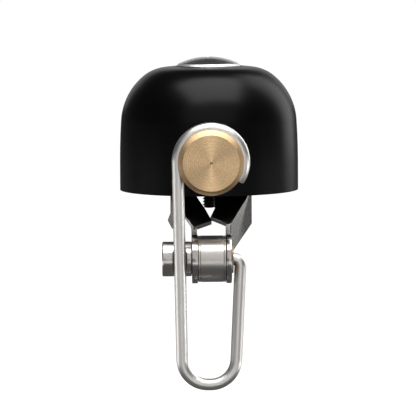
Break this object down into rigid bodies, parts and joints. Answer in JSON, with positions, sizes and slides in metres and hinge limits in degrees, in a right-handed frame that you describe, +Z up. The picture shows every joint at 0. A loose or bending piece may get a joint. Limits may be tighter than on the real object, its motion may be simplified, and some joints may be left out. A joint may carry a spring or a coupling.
{
  "type": "bicycle bell",
  "caption": "Compact handlebar bell: black dome on a post, stamped two-arm saddle bracket and a sprung bent-wire striker with a turned brass hammer.",
  "frame": {"origin": "on the axis of the 31.8 mm handlebar that the bracket sits on, straight under the dome's centre", "axes": "+X along the handlebar, +Z up through the dome's axis, -Y towards the side the striker is on"},
  "size_m": [0.0366, 0.0468, 0.0662],
  "materials": {
    "dome_black": "satin black coating on brass",
    "polished_steel": "polished stainless with a turned bevel",
    "rubber_black": "matte",
    "nylon": "natural nylon",
    "post_aluminium": "turned",
    "dark_steel": "black oxide",
    "stamped_steel": "stamped stainless, satin",
    "turned_steel": "turned stainless",
    "bush_bronze": "oil-filled bronze",
    "spring_steel": "drawn spring wire",
    "wire_steel": "drawn stainless wire, satin",
    "brass": "turned brass with fine concentric marks"
  },
  "bodies": {
    "bell": {"dome": "dome_black", "cap": "polished_steel", "cap_washer": "rubber_black", "dome_bush": "nylon", "dome_washer": "rubber_black", "post": "post_aluminium", "center_stud": "dark_steel", "lock_washer": "dark_steel", "stud_nut": "dark_steel", "left_arm": "stamped_steel", "right_arm": "stamped_steel", "barrel": "turned_steel", "left_end_cap": "turned_steel", "right_end_cap": "turned_steel", "left_bush": "bush_bronze", "right_bush": "bush_bronze", "torsion_spring": "spring_steel"},
    "striker": {"striker_wire": "wire_steel", "hammer": "brass", "pivot_sleeve": "turned_steel", "collar": "turned_steel", "collar_screw": "dark_steel", "thrust_washer": "bush_bronze"}
  },
  "joints": [
    {"name": "striker_swing", "type": "hinge", "parent": "bell", "child": "striker", "pos_m": [0, -0.02, 0.00805], "axis": [1, 0, 0], "range_deg": [-3.5, 24], "stiffness_Nm_per_rad": 0.08}
  ]
}
